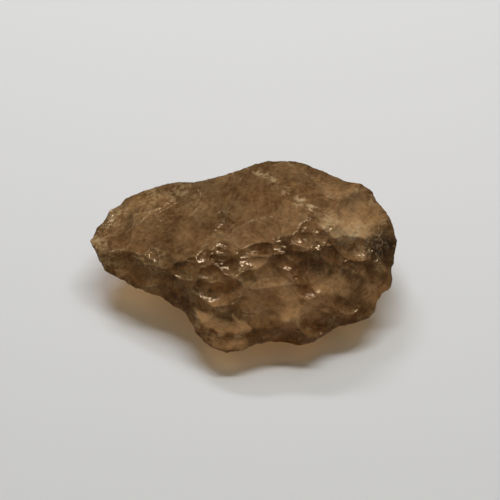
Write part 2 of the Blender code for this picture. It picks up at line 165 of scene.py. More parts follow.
SCALLOP = (0.3, 1.8)                # natural logarithm of a scallop's length along the rim in mm
LAST_SCALLOP = 6.5                  # the longest that closes the ring, mm
SCALLOP_BITE = (0.02, 0.12)         # its depth for each mm of its length
BACK_V = 8.0                        # the rim above this V is the calm back edge,
BACK_BITE = 0.5                     # where scallops are this much shallower
RIM_SPARE = 0.4                     # stone left above and below the rim line, mm
RIM_EASE = 6                        # rounds of smoothing along it
RIM_CHIP_TOP = (0.6, 1.5)           # how steeply the chips fall away from the rim
RIM_CHIP_UNDER = (0.7, 2.2)
RIM_CHIP_RADIUS = (2.5, 9.0)        # mm
REACH_U = 36                        # half of the laid-out field, mm
REACH_V = 23


def laid(u, v, rows):
    """Height off the rim plane of every facet and dish in rows, at every (u, v)."""
    p = np.asarray(rows)
    du = u[:, None] - p[:, 0]
    dv = v[:, None] - p[:, 1]
    return p[:, 2] + p[:, 3] * du + p[:, 4] * dv + p[:, 5] * du * du + p[:, 6] * du * dv + p[:, 7] * dv * dv


def skin(u, v, rows, side):
    """The surface that is left: the lowest of the upper side's rows, or the highest of the underside's."""
    return (laid(u, v, rows) * side).min(axis=1) * side


def flat(u, v, z, bearing, tilt):
    """A flat break through (u, v) at height z over the table."""
    a = math.radians(bearing)
    t = math.radians(tilt)
    n_u = math.sin(t) * math.cos(a)
    n_y = math.sin(t) * math.sin(a)
    n_z = math.cos(t)
    n_v = n_y * CS + n_z * SN
    n_w = n_z * CS - n_y * SN
    return (u, v, (z - v * SN) / CS, -n_u / n_w, -n_v / n_w, 0.0, 0.0, 0.0)


def bowl(u, v, w, slope_u, slope_v, radius, side, long=1.0, turn=0.0):
    """A shallow dish whose floor passes through (u, v, w) with these slopes."""
    c = math.cos(math.radians(turn))
    s = math.sin(math.radians(turn))
    k = side * (1.0 + 0.5 * (slope_u ** 2 + slope_v ** 2)) / (2.0 * radius)
    a = k / long ** 2
    return (u, v, w, slope_u, slope_v, a * c * c + k * s * s, 2.0 * (a - k) * c * s, a * s * s + k * c * c)


def strike(rows, side, u, v, depth, radius, lean_u, lean_v, long=1.0, turn=0.0, feel=FEEL):
    """Knock one flake off: the dish is square to the old surface about the blow, leaned and sunk by depth."""
    ring = np.radians(np.arange(0, 360, 30))
    ru = np.concatenate([[0.0], feel * np.cos(ring), 0.5 * feel * np.cos(ring)])
    rv = np.concatenate([[0.0], feel * np.sin(ring), 0.5 * feel * np.sin(ring)])
    old = skin(u + ru, v + rv, rows, side)
    fit = np.linalg.lstsq(np.stack([np.ones_like(ru), ru, rv], axis=1), old, rcond=None)[0]
    rows.append(bowl(u, v, old[0] - side * depth, fit[1] + side * lean_u, fit[2] + side * lean_v,
                     radius, side, long, turn))


def off_run(u, v, au, av, bu, bv):
    """How far each point is from the straight run from a to b."""
    t = np.clip(((u - au) * (bu - au) + (v - av) * (bv - av)) / ((bu - au) ** 2 + (bv - av) ** 2), 0, 1)
    return np.hypot(u - au - t * (bu - au), v - av - t * (bv - av))


def inside_and_gap(u, v, loop):
    """Whether each point is inside the loop, and how far from it."""
    inside = np.zeros(len(u), bool)
    gap = np.full(len(u), FAR)
    for (au, av), (bu, bv) in zip(loop, np.roll(loop, -1, axis=0)):
        crosses = (av > v) != (bv > v)
        if av != bv:
            inside ^= crosses & (u < (bu - au) * (v - av) / (bv - av) + au)
        gap = np.minimum(gap, off_run(u, v, au, av, bu, bv))
    return inside, gap


def crest_chips(rows, side, count, loop, rng):
    """Small chips off the crests, where two surfaces meet at a clear angle."""
    for k in range(count):
        while True:
            u = rng.uniform(-CHIP_REACH_U, CHIP_REACH_U, CHIP_THROWS)
            v = rng.uniform(-CHIP_REACH_V, CHIP_REACH_V, CHIP_THROWS)
            ok, gap = inside_and_gap(u, v, loop)
            h = np.sort(laid(u, v, rows) * side, axis=1)
            around = skin(u + CHIP_PROBE, v, rows, side) + skin(u - CHIP_PROBE, v, rows, side)
            around = around + skin(u, v + CHIP_PROBE, rows, side) + skin(u, v - CHIP_PROBE, rows, side)
            sharp = side * (skin(u, v, rows, side) - around / 4)
            ok &= (gap > CHIP_INLAND) & (h[:, 1] - h[:, 0] < CHIP_CREST) & (sharp > CHIP_SHARP)
            if side < 0:
                ok &= v * SN + skin(u, v, rows, side) * CS > CHIP_ABOVE
            if ok.any():
                break
        n = np.argmax(ok)
        depth = rng.uniform(*CHIP_DEPTH)
        radius = math.exp(rng.uniform(*CHIP_RADIUS))
        lean_u = rng.normal(0, CHIP_LEAN)
        lean_v = rng.normal(0, CHIP_LEAN)
        long = rng.uniform(*CHIP_LONG)
        strike(rows, side, u[n], v[n], depth, radius, lean_u, lean_v, long, rng.uniform(0, 180), CHIP_FEEL)


# The rim: small scallops between sharp points, all the way round.
rng = np.random.default_rng(SEED)
corners = np.array([(u, v) for u, v, z in RIM])
edge_w = np.array([(z - v * SN) / CS for u, v, z in RIM])
run = np.concatenate([[0.0], np.cumsum(np.hypot(*(np.roll(corners, -1, axis=0) - corners).T))])
cuts = [0.0]
while cuts[-1] < run[-1] - LAST_SCALLOP:
    cuts.append(cuts[-1] + math.exp(rng.uniform(*SCALLOP)))
cuts.append(run[-1])
rim_u = []
rim_v = []
rim_w = []
notch = []
for start, end in zip(cuts[:-1], cuts[1:]):
    steps = max(2, math.ceil((end - start) / RIM_GRAIN))
    t = np.arange(steps) / steps
    s = start + t * (end - start)
    pu = np.interp(s, run, np.append(corners[:, 0], corners[0, 0]))
    pv = np.interp(s, run, np.append(corners[:, 1], corners[0, 1]))
    ahead_u = np.interp(end, run, np.append(corners[:, 0], corners[0, 0])) - pu[0]
    ahead_v = np.interp(end, run, np.append(corners[:, 1], corners[0, 1])) - pv[0]
    span = math.hypot(ahead_u, ahead_v)
    inward = (ahead_v / span, -ahead_u / span)
    deep = BACK_BITE if pv[0] > BACK_V else 1.0
    bite = deep * span * rng.uniform(*SCALLOP_BITE) * (1 - (2 * t - 1) ** 2)
    notch.append((inward, len(rim_u) + steps // 2))
    rim_u.extend(pu + inward[0] * bite)
    rim_v.extend(pv + inward[1] * bite)
    rim_w.extend(np.interp(s, run, np.append(edge_w, edge_w[0])))
rim_u = np.array(rim_u)
rim_v = np.array(rim_v)
rim = np.stack([rim_u, rim_v], axis=1)

# Knap both sides, then bring the rim in between them.
top = [flat(*f) for f in TOP_BREAKS]
under = [flat(*f) for f in UNDER_BREAKS]
for s in TOP_SCARS:
    strike(top, 1, *s)
for s in UNDER_SCARS:
    strike(under, -1, *s)
high = skin(rim_u, rim_v, top, 1)
low = skin(rim_u, rim_v, under, -1)
middle = (low + high) / 2
rim_w = np.clip(rim_w, np.minimum(low + RIM_SPARE, middle), np.maximum(high - RIM_SPARE, middle))
for k in range(RIM_EASE):
    rim_w = (np.roll(rim_w, 1) + 2 * rim_w + np.roll(rim_w, -1)) / 4

# Chips along the rim on both sides, one to a scallop, then on the crests.
for inward, n in notch:
    before = (n - 2) % len(rim)
    after = (n + 2) % len(rim)
    step = rim[after] - rim[before]
    rise = (rim_w[after] - rim_w[before]) / math.hypot(*step)
    along = (-inward[1], inward[0])
    if np.dot(along, step) < 0:
        rise = -rise
    steep_top = rng.uniform(*RIM_CHIP_TOP)
    steep_under = rng.uniform(*RIM_CHIP_UNDER)
    for rows, side, steep in ((top, 1, steep_top), (under, -1, steep_under)):
        slope_u = along[0] * rise + inward[0] * steep * side
        slope_v = along[1] * rise + inward[1] * steep * side
        rows.append(bowl(rim_u[n], rim_v[n], rim_w[n], slope_u, slope_v, rng.uniform(*RIM_CHIP_RADIUS), side))
crest_chips(top, 1, TOP_CHIPS, rim, rng)
for s in FRESH_SCARS:
    strike(top, 1, *s)
crest_chips(top, 1, LATE_CHIPS, rim, rng)
crest_chips(under, -1, UNDER_CHIPS, rim, rng)

# Damage too fine for the solid. First, where it lies.
# Places that shattered rather than flaked, along the crest of the front: U, V and radius of each.
SHATTERED = [
    (-7.0, -9.7, 3.5), (-10.9, -8.0, 3.0), (-10.0, -4.8, 3.5), (-5.4, -2.7, 4.0), (-1.0, -2.0, 4.0),
    (2.5, 1.5, 4.0), (8.5, 1.0, 4.0), (11.5, -1.0, 3.5), (16.0, 3.5, 4.0), (22.6, -0.5, 3.5),
    (27.0, 1.5, 3.5), (24.5, -12.2, 2.5), (-5.0, 8.0, 3.0), (-20.0, -2.0, 3.0), (-1.5, -7.0, 3.0),
]
ROUGH_END = (30.6, 2.4, 5.2)        # the coarse, pitted corner at the right end: U, V and radius
# Where the edges splintered into small steps, as U, V along each line.
SPLINTERED = [
    [(3.9, 0.7), (4.8, 1.1), (6.3, 1.4), (7.9, 1.1), (9.1, 0.7), (9.7, -0.2), (10.9, -1.4), (12.0, -1.6)],
    [(12.0, -1.6), (10.4, -2.0), (9.1, -2.7), (7.5, -2.5)],
    [(-7.2, -2.5), (-5.2, -2.3), (-3.2, -2.9)],
    [(-9.5, -4.5), (-8.4, -4.6), (-7.7, -5.2)],
    [(-10.6, -8.2), (-8.8, -9.3), (-7.5, -9.7), (-5.9, -10.0)],
    [(-6.3, 2.3), (-4.1, 2.5)],
    [(-6.6, 0.5), (-5.0, 1.6)],
    [(-4.8, 7.7), (-5.4, 6.3), (-6.8, 5.4)],
    [(-1.1, -3.2), (-0.7, -1.4), (0.0, -0.2), (2.5, 1.4)],
    [(21.6, -0.3), (23.6, -1.2)],
    [(26.6, 0.6), (27.8, 1.3)],
    [(23.6, -12.5), (24.9, -12.2), (25.8, -13.1)],
    [(15.9, -8.8), (17.0, -7.2)],
    [(-14.9, -4.8), (-13.8, -4.1)],
    [(-12.4, -0.9), (-11.8, -0.7)],
    [(17.0, 2.5), (19.9, 2.5)],
    [(12.3, 3.4), (13.2, 2.9)],
    [(15.2, -17.1), (15.8, -17.3)],
    [(17.6, -17.1), (18.3, -17.3)],
]
# Places that took many light blows: U, V, radius and number of flakes.
BATTERED = [(23.5, 10.0, 3.5, 6), (6.0, -16.8, 3.5, 7), (-16.0, -8.8, 3.5, 6), (20.0, -12.5, 3.0, 5)]
# Creases where the crack ran on below the surface: depth and half width in mm, then U, V along each.
CREASES = [
    (0.10, 0.30, [(-21.3, 9.7), (-18.3, 11.1), (-13.4, 14.3), (-11.8, 15.4)]),
    (0.07, 0.25, [(-19.5, 9.6), (-16.5, 11.2), (-13.2, 12.9)]),
    (0.05, 0.20, [(-27.6, 4.8), (-23.8, 7.2), (-21.3, 9.7)]),
    (0.04, 0.20, [(-28.5, 11.6), (-23.6, 12.0), (-18.3, 11.1)]),
    (0.10, 0.25, [(13.4, -0.2), (14.7, -2.0), (14.0, -3.9), (12.7, -5.4)]),
    (0.06, 0.20, [(14.7, -2.0), (16.8, -0.7), (19.3, -0.5)]),
    (0.05, 0.20, [(18.6, -1.8), (22.9, -3.2), (26.7, -3.9)]),
    (0.03, 0.20, [(21.1, 15.9), (17.7, 12.0)]),
    (0.05, 0.20, [(-4.5, 16.3), (-4.1, 13.8)]),
    (0.05, 0.20, [(-18.6, -1.1), (-16.3, -1.4)]),
    (0.04, 0.20, [(-22.0, 2.0), (-22.2, 0.5)]),
    (0.04, 0.20, [(-21.1, 2.0), (-21.3, 0.7)]),
    (0.12, 0.30, [(-10.6, -15.6), (-6.6, -17.4), (-0.9, -17.9), (4.1, -16.8)]),
    (0.08, 0.30, [(-1.2, -11.0), (0.6, -7.4), (3.6, -5.1), (7.2, -4.8)]),
    (0.05, 0.25, [(0.2, -10.6), (1.6, -8.0), (4.0, -6.2), (7.0, -5.9)]),
    (0.06, 0.25, [(13.0, -6.2), (14.2, -9.6), (13.8, -13.6)]),
]

# Rounds of small chips, in the order they came off: rounds, chips in each, natural logarithm of the radius of
# the dish in mm, depth in mm, lean, least distance from the rim and from each other in mm, and where.
TOP_SMALL = [
    (3, 30, (0.5, 1.8), (0.08, 0.35), 0.30, 1.0, 2.5, SHATTERED),
    (5, 50, (-0.2, 1.3), (0.02, 0.14), 0.25, 0.6, 2.2, None),
    (7, 60, (-1.0, 0.7), (0.02, 0.12), 0.45, 0.6, 1.1, SHATTERED + [ROUGH_END]),
]
UNDER_SMALL = (3, 40, (0.2, 1.5), (0.02, 0.12), 0.20, 0.6, 2.2, None)
UNDER_WIDE = (2, 16, (1.6, 2.5), (0.15, 0.50), 0.25, 1.0, 4.0, None)
SMALL_THROWS = 12000                # spots tried in each round
SMALL_PROBE = 0.35                  # how far round a spot its sharpness is felt, mm
SMALL_SHARP = 0.03                  # how far a crest stands proud before it chips, mm
SMALL_ABOVE = 0.5                   # how high over the table the underside chips, mm
SMALL_LUCK = (0.3, 1.0)             # so that it isn't always the sharpest spot that chips
SMALL_LONG = (1.0, 1.5)
SMALL_FEEL = 0.5                    # as FEEL, for these chips


def many_chips(rows, side, rounds, each, sizes, depths, lean, gap_mm, apart_mm, zones):
    """Rounds of small chips along the crests, each round spread out so that no two of it touch."""
    for k in range(rounds):
        u = rng.uniform(-REACH_U, REACH_U, SMALL_THROWS)
        v = rng.uniform(-REACH_V, REACH_V, SMALL_THROWS)
        if zones:
            near_zone = np.zeros(len(u), bool)
            for zone_u, zone_v, zone_r in zones:
                near_zone |= np.hypot(u - zone_u, v - zone_v) < zone_r
            u = u[near_zone]
            v = v[near_zone]
        ok, gap = inside_and_gap(u, v, rim)
        u = u[ok & (gap > gap_mm)]
        v = v[ok & (gap > gap_mm)]
        here = skin(u, v, rows, side)
        around = skin(u + SMALL_PROBE, v, rows, side) + skin(u - SMALL_PROBE, v, rows, side)
        around = around + skin(u, v + SMALL_PROBE, rows, side) + skin(u, v - SMALL_PROBE, rows, side)
        sharp = side * (here - around / 4)
        if side < 0:
            sharp = np.where(v * SN + here * CS > SMALL_ABOVE, sharp, 0.0)
        order = np.argsort(-sharp * rng.uniform(*SMALL_LUCK, len(sharp)))
        struck = []
        for n in order:
            if sharp[n] < SMALL_SHARP or len(struck) >= each:
                break
            if all(math.hypot(u[n] - a, v[n] - b) > apart_mm for a, b in struck):
                struck.append((u[n], v[n]))
                strike(rows, side, u[n], v[n], rng.uniform(*depths), math.exp(rng.uniform(*sizes)),
                       rng.normal(0, lean), rng.normal(0, lean), rng.uniform(*SMALL_LONG),
                       rng.uniform(0, 180), SMALL_FEEL)


def off_line(u, v, line):
    """How far each point is from a line of U, V corners."""
    near = np.full(len(u), FAR)
    for (au, av), (bu, bv) in zip(line, line[1:]):
        near = np.minimum(near, off_run(u, v, au, av, bu, bv))
    return near


BATTER_SEED = 41
BATTER_DEPTH = (0.03, 0.12)         # mm
BATTER_RADIUS = (3, 7)              # of the dish, mm
BATTER_LEAN = 0.12
BATTER_LONG = (1.0, 1.6)
BATTER_FEEL = 0.8


def batter(rows, side):
    """Shallow flakes anywhere in the battered places, each leaning its own way."""
    blow = np.random.default_rng(BATTER_SEED)
    for zone_u, zone_v, zone_r, flakes in BATTERED:
        for k in range(flakes):
            away = zone_r * math.sqrt(blow.uniform())
            bearing = blow.uniform(0, 2 * math.pi)
            strike(rows, side, zone_u + away * math.cos(bearing), zone_v + away * math.sin(bearing),
                   blow.uniform(*BATTER_DEPTH), blow.uniform(*BATTER_RADIUS), blow.normal(0, BATTER_LEAN),
                   blow.normal(0, BATTER_LEAN), blow.uniform(*BATTER_LONG), blow.uniform(0, 180), BATTER_FEEL)


SPLINTER_SEED = 42
SPLINTER_APART = 0.55               # from one small step to the next along a line, mm
SPLINTER_STRAY = 0.15               # how far each strays from the line, mm
SPLINTER_SUNK = (0.01, 0.07)        # mm
SPLINTER_LEAN = (-0.05, -0.48)      # how the steps lie, rise per U and per V,
SPLINTER_VARY = (0.10, 0.05)        # and how much that varies
SPLINTER_RADIUS = (0.8, 2.8)        # of the dish, mm
SPLINTER_LONG = (1.0, 1.8)
SPLINTER_TURN = (-40, 40)           # degrees
SPLINTER_BAND = 0.9                 # half width of the closer mesh along a line, mm


def splinter(rows):
    """Small dishes along the splintered lines, all lying much the same way."""
    blow = np.random.default_rng(SPLINTER_SEED)
    for line in SPLINTERED:
        for (au, av), (bu, bv) in zip(line, line[1:]):
            steps = max(1, round(math.hypot(bu - au, bv - av) / SPLINTER_APART))
            for k in range(steps):
                u = np.array([au + (bu - au) * k / steps + blow.normal(0, SPLINTER_STRAY)])
                v = np.array([av + (bv - av) * k / steps + blow.normal(0, SPLINTER_STRAY)])
                sunk = skin(u, v, rows, 1)[0] - blow.uniform(*SPLINTER_SUNK)
                rows.append(bowl(u[0], v[0], sunk, SPLINTER_LEAN[0] + blow.normal(0, SPLINTER_VARY[0]),
                                 SPLINTER_LEAN[1] + blow.normal(0, SPLINTER_VARY[1]),
                                 blow.uniform(*SPLINTER_RADIUS), 1,
                                 blow.uniform(*SPLINTER_LONG), blow.uniform(*SPLINTER_TURN)))


def creased(u, v):
    """How far the creases sink the surface at each point, mm."""
    sunk = np.zeros(len(u))
    for depth, half, line in CREASES:
        sunk = np.maximum(sunk, depth * np.exp(-(off_line(u, v, line) / half) ** 2))
    return sunk


BATCH = 4000                        # points worked out at once, to spare memory


def two_lowest(u, v, rows, side):
    """For each point the owner of the surface, the next one up, and how far apart they are."""
    first = np.empty(len(u), int)
    second = np.empty(len(u), int)
    apart = np.empty(len(u))
    height = np.empty(len(u))
    for a in range(0, len(u), BATCH):
        some = slice(a, a + BATCH)
        h = laid(u[some], v[some], rows) * side
        best = np.argpartition(h, 1, axis=1)[:, :2]
        low = np.take_along_axis(h, best, axis=1)
        swap = low[:, 0] > low[:, 1]
        best[swap] = best[swap][:, ::-1]
        low = np.sort(low, axis=1)
        first[some] = best[:, 0]
        second[some] = best[:, 1]
        apart[some] = (low[:, 1] - low[:, 0]) * side
        height[some] = low[:, 0] * side
    return first, second, apart, height


def rises(u, v, p, owner):
    """Rise per U and per V of the row that owns each point."""
    du = u - p[owner, 0]
    dv = v - p[owner, 1]
    return (p[owner, 3] + 2 * p[owner, 5] * du + p[owner, 6] * dv,
            p[owner, 4] + p[owner, 6] * du + 2 * p[owner, 7] * dv)


CREST_HALF = 0.28                   # half width of the painted highlight along a crest, mm
CREST_TURN = 0.7                    # the turn of slope from which it shows in full
CREST_SMALL = 0.45                  # how much of it the small chips have
CREST_CREASE = 0.12                 # the depth of crease that shows as much, mm
NO_TURN = 1e-6                      # keeps a turn of nought from being divided by


def crest_at(u, v, first, second, apart, rows):
    """How much of a sharp crest each point is, from 0 to 1."""
    p = np.asarray(rows)
    one_u, one_v = rises(u, v, p, first)
    other_u, other_v = rises(u, v, p, second)
    turn = np.hypot(one_u - other_u, one_v - other_v) + NO_TURN
    small = (first >= first_chip[1]) | (second >= first_chip[1])
    return (np.clip(1 - np.abs(apart) / turn / CREST_HALF, 0, 1) * np.clip(turn / CREST_TURN, 0, 1)
            * np.where(small, CREST_SMALL, 1.0))


def splintered(u, v):
    """Whether each point is close to a splintered line."""
    near = np.full(len(u), FAR)
    for line in SPLINTERED:
        near = np.minimum(near, off_line(u, v, line))
    return near < SPLINTER_BAND


ROW_STEP = 0.866                    # rows of a triangular grid
CLEAR_CREST = 0.002                 # square of the slope change from which a crest is followed
SLIDE = 0.5                         # how far a point slides onto a crest, in grains
RIM_CLEAR = 0.3                     # how far inside the rim points start, in grains,
RIM_CLEAR_LAST = 0.4                # and end
POINT_CLEAR = 0.27                  # square of the least distance between points, in square grains


def fine_points(grain, rows, side, wanted):
    """A close grid inside the rim, with the points beside a crest slid onto it so that edges stay crisp."""
    u, v = np.meshgrid(np.arange(-REACH_U, REACH_U, grain), np.arange(-REACH_V, REACH_V, grain * ROW_STEP))
    u = (u + (np.arange(len(v)) % 2)[:, None] * grain / 2).ravel()
    v = v.ravel()
    use = wanted(u, v)
    u = u[use]
    v = v[use]
    inside, gap = inside_and_gap(u, v, edge)
    u = u[inside & (gap > RIM_CLEAR * grain)]
    v = v[inside & (gap > RIM_CLEAR * grain)]
    p = np.asarray(rows)
    for k in range(2):
        first, second, apart, height = two_lowest(u, v, rows, side)
        one_u, one_v = rises(u, v, p, first)
        other_u, other_v = rises(u, v, p, second)
        gu = other_u - one_u
        gv = other_v - one_v
        steep = gu * gu + gv * gv + 1e-9
        near = (np.abs(apart) / np.sqrt(steep) < SLIDE * grain) & (steep > CLEAR_CREST)
        u = np.where(near, u - apart * gu / steep, u)
        v = np.where(near, v - apart * gv / steep, v)
    inside, gap = inside_and_gap(u, v, edge)
    keep = inside & (gap > RIM_CLEAR_LAST * grain)
    order = np.argsort(~near[keep], kind="stable")
    u = u[keep][order]
    v = v[keep][order]
    left = []
    cells = {}
    for n, (cu, cv) in enumerate(zip(np.floor(u / grain).astype(int), np.floor(v / grain).astype(int))):
        clear = True
        for i in (-1, 0, 1):
            for j in (-1, 0, 1):
                for m in cells.get((cu + i, cv + j), ()):
                    if (u[n] - u[m]) ** 2 + (v[n] - v[m]) ** 2 < POINT_CLEAR * grain * grain:
                        clear = False
        if clear:
            cells.setdefault((cu, cv), []).append(n)
            left.append(n)
    return u[left], v[left]


def placed(u, v, w):
    """From the rim plane to the world, metres."""
    return np.stack([u - HOME[0], v * CS - w * SN - HOME[1], v * SN + w * CS], axis=-1) * MM


def hum(u, v, size, layer):
    """Smooth noise between -1 and 1 over the rim plane, size in mm; each layer is a noise of its own."""
    return np.array([noise.noise(Vector((a / size, b / size, layer))) for a, b in zip(u, v)])


RELIEF_SEED = {1: 31, -1: 32}       # for the upper side and the underside
BLOW_BEND = 0.18                    # a flatter scar was struck from farther off: its distance times its bend,
BLOW_OFF = (3.0, 28.0)              # the least and the most, mm,
BLOW_VARY = (0.8, 1.2)              # and how much that varies
LEAST_BEND = 1e-9                   # keeps a flat break's bend from being divided by
RIPPLE_LONG = (0.9, 2.2)            # from one ripple to the next, mm
RIPPLE_HIGH = (0.004, 0.020)        # mm
RIPPLE_STRAY = 0.9                  # how far ripples wander, mm,
RIPPLE_BEND = 3.0                   # and over what length
HACKLE_HIGH = (0.008, 0.035)        # mm
FAN_ACROSS = 1.5                    # the fan's first axis is this many to a mm, across the hackles,
FAN_TWIST = 0.25                    # with this much more for each mm along them,
FAN_ALONG = 9.0                     # its second is this many mm to one, along them,
FAN_SCAR = 0.37                     # and its third tells one scar from the next
CHIP_WAVE = 0.6                     # on small chips the ripples are this much shorter
CHIP_RIPPLE = 1.8                   # and this much higher, and so are the hackles
CHIP_HACKLE = 1.5
COARSE = [(1.3, 11.0, 0.012), (0.6, 17.0, 0.007)]   # unevenness: size in mm, layer, height in mm
TORN_FROM = 0.8                     # a slope steeper than this was torn rough,
TORN_MORE = 2                       # by up to this much more
RELIEF_FADE = 0.25                  # relief fades out this close to a crest, mm


def relief(u, v, first, apart, rows, side):
    """What the crack left on each scar, mm: ripples round the blow and hackles that fan out from it.

    The second result is the pattern's own position, for the finer hackles in the material, and the third is
    one number for each scar.
    """
    count = len(rows)
    draw = np.random.default_rng(RELIEF_SEED[side])
    p = np.asarray(rows)
    bearing = draw.uniform(0, 2 * math.pi, count)
    bend = np.where(p[:, 5] == 0, LEAST_BEND, p[:, 5])
    reach = np.clip(BLOW_BEND / bend, *BLOW_OFF) * draw.uniform(*BLOW_VARY, count)
    blow_u = p[:, 0] + reach * np.cos(bearing)
    blow_v = p[:, 1] + reach * np.sin(bearing)
    wave = draw.uniform(*RIPPLE_LONG, count)
    wave[first_chip[side]:] *= CHIP_WAVE
    ripple = draw.uniform(*RIPPLE_HIGH, count)
    hackle = draw.uniform(*HACKLE_HIGH, count)
    du = u - blow_u[first]
    dv = v - blow_v[first]
    r = np.hypot(du, dv)
    turn = np.arctan2(dv, du)
    wander = hum(u, v, RIPPLE_BEND, 5.0 * side)
    rings = np.sin(2 * math.pi * (r + RIPPLE_STRAY * wander) / wave[first]) * ripple[first]
    across = turn * reach[first] * FAN_ACROSS + FAN_TWIST * r
    fan_at = np.stack([across, r / FAN_ALONG, FAN_SCAR * first], axis=1)
    fan = np.array([noise.noise(Vector(at)) for at in fan_at]) * hackle[first]
    coarse = sum(hum(u, v, across_mm, layer) * high_mm for across_mm, layer, high_mm in COARSE)
    chip = first >= first_chip[side]
    rings = rings * np.where(chip, CHIP_RIPPLE, 1.0)
    fan = fan * np.where(chip, CHIP_HACKLE, 1.0)
    slope = np.hypot(*rises(u, v, p, first))
    torn = 1 + np.clip(TORN_MORE * (slope - TORN_FROM), 0, TORN_MORE)
    fade = np.clip(np.abs(apart) / RELIEF_FADE, 0, 1)
    return (rings + fan * torn + coarse * torn) * fade, fan_at, draw.uniform(-1, 1, count)[first]


# Knock them off, in this order.
first_chip = {1: len(top), -1: len(under)}
for small in TOP_SMALL:
    many_chips(top, 1, *small)
many_chips(under, -1, *UNDER_SMALL)
batter(top, 1)
splinter(top)
many_chips(under, -1, *UNDER_WIDE)

# The rim again, closer, with fine nicks.
NICKS = [(1.1, 4.2, 0.22), (2.7, 9.1, 0.08)]        # how many to a mm, layer, and depth in mm
around_rim = np.concatenate([[0.0], np.cumsum(np.hypot(*(np.roll(rim, -1, axis=0) - rim).T))])
s = np.arange(0.0, around_rim[-1] - RIM_STEP / 2, RIM_STEP)
edge_u = np.interp(s, around_rim, np.append(rim_u, rim_u[0]))
edge_v = np.interp(s, around_rim, np.append(rim_v, rim_v[0]))
edge_w = np.interp(s, around_rim, np.append(rim_w, rim_w[0]))
ahead = np.stack([np.roll(edge_u, -1) - np.roll(edge_u, 1), np.roll(edge_v, -1) - np.roll(edge_v, 1)])
ahead = ahead / np.hypot(*ahead)
nick = np.array([sum(abs(noise.noise(Vector((t * often, layer, 0)))) * depth for often, layer, depth in NICKS)
                 for t in s])
edge_u = edge_u + ahead[1] * nick
edge_v = edge_v - ahead[0] * nick
edge = np.stack([edge_u, edge_v], axis=1)

THIN_SLOPE = 0.9                    # least thickness for each mm inside the rim,
THIN_MOST = 1.5                     # up to this, mm
STEEPEST = 4                        # the steepest a skin leaves the rim
CALM_RIM = 1.2                      # relief fades out this close to the rim, mm
PITS = [(0.9, 23.0, 0.35), (0.45, 29.0, 0.15)]      # of the rough end: size in mm, layer, and depth in mm
ROUGH_FIRM = 1.6                    # as patch's firm, for the rough end
CREASE_STRAY = 0.15                 # how far creases wander, mm,
CREASE_BEND = 1.5                   # and over what length
BASE_NEAR = 0.3                     # below this the stone is its flat base, with no relief, mm
DULL_BACK = 6.0                     # over how many mm up the slope the top turns from glassy to dull
DULL_UNDER = 0.4                    # how dull the underside is
DULL_CHIP = 0.35                    # small chips are this much less dull


def patch(off, radius, firm):
    """How strong a patch is at each distance from its middle: full near it, and nought at its radius."""
    return np.clip(firm - firm * off / radius, 0, 1)


def fine_side(bm, rim_verts, grain, rows, side):
    """Fill the rim with one skin of the stone, and keep what the material needs on its points."""
    if side > 0:
        u, v = fine_points(grain, rows, side, lambda a, b: ~splintered(a, b))
        close_u, close_v = fine_points(grain / 2, rows, side, splintered)
        u = np.concatenate([u, close_u])
        v = np.concatenate([v, close_v])
    else:
        u, v = fine_points(grain, rows, side, lambda a, b: np.ones(len(a), bool))
    inside, gap = inside_and_gap(u, v, edge)
    up_first, up_second, up_apart, upper = two_lowest(u, v, top, 1)
    low_first, low_second, low_apart, lower = two_lowest(u, v, under, -1)
    thin = np.clip(np.minimum(THIN_SLOPE * gap, THIN_MOST) - (upper - lower), 0, None)
    near = np.empty(len(u), int)
    for a in range(0, len(u), BATCH):
        some = slice(a, a + BATCH)
        near[some] = np.argmin((u[some, None] - edge_u) ** 2 + (v[some, None] - edge_v) ** 2, axis=1)
    calm = np.clip(gap / CALM_RIM, 0, 1)
    if side > 0:
        rough_u, rough_v, rough_r = ROUGH_END
        rough = patch(np.hypot(u - rough_u, v - rough_v), rough_r, ROUGH_FIRM)
        pits = sum(np.abs(hum(u, v, size, layer)) * depth for size, layer, depth in PITS) * rough
        marks, fan_at, facet = relief(u, v, up_first, up_apart, rows, side)
        # A painted highlight along the sharp crests and the creases.
        crest = crest_at(u, v, up_first, up_second, up_apart, rows)
        crest_highlight = np.maximum(crest, creased(u, v) / CREST_CREASE)
        marks = marks - pits - creased(u + CREASE_STRAY * hum(u, v, CREASE_BEND, 41.0),
                                       v + CREASE_STRAY * hum(u, v, CREASE_BEND, 43.0))
        w = np.minimum(upper + thin / 2 + marks * calm, edge_w[near] + STEEPEST * gap)
        owner = up_first
        dull = np.clip(0.5 + v / DULL_BACK, 0, 1)
    else:
        marks, fan_at, facet = relief(u, v, low_first, low_apart, rows, side)
        # A painted highlight along the sharp crests.
        crest_highlight = crest_at(u, v, low_first, low_second, low_apart, rows)
        resting = v * SN + lower * CS < BASE_NEAR
        w = np.maximum(lower - thin / 2 + np.where(resting, 0.0, marks) * calm, edge_w[near] - STEEPEST * gap)
        owner = low_first
        dull = np.full(len(u), DULL_UNDER)
    dull = np.where(owner >= first_chip[side], DULL_CHIP * dull, dull)
    laid_out = [Vector(p) for p in edge] + [Vector(p) for p in zip(u, v)]
    web = delaunay_2d_cdt(laid_out, [], [list(range(len(edge)))], 1, 1e-7)
    verts = list(rim_verts)
    for co, much, at, own, hit in zip(placed(u, v, w), dull, fan_at, facet, crest_highlight):
        verts.append(bm.verts.new(co))
        verts[-1][dull_layer] = much
        verts[-1][crest_highlight_layer] = hit
        verts[-1][fan_layer] = at
        verts[-1][facet_layer] = own
    for tri in web[2]:
        old = [web[3][n][0] for n in tri]
        corner = [verts[n] for n in (old if side > 0 else reversed(old))]
        flat_nick = bm.faces.get(corner)
        if flat_nick:
            bm.faces.remove(flat_nick)
        else:
            bm.faces.new(corner)


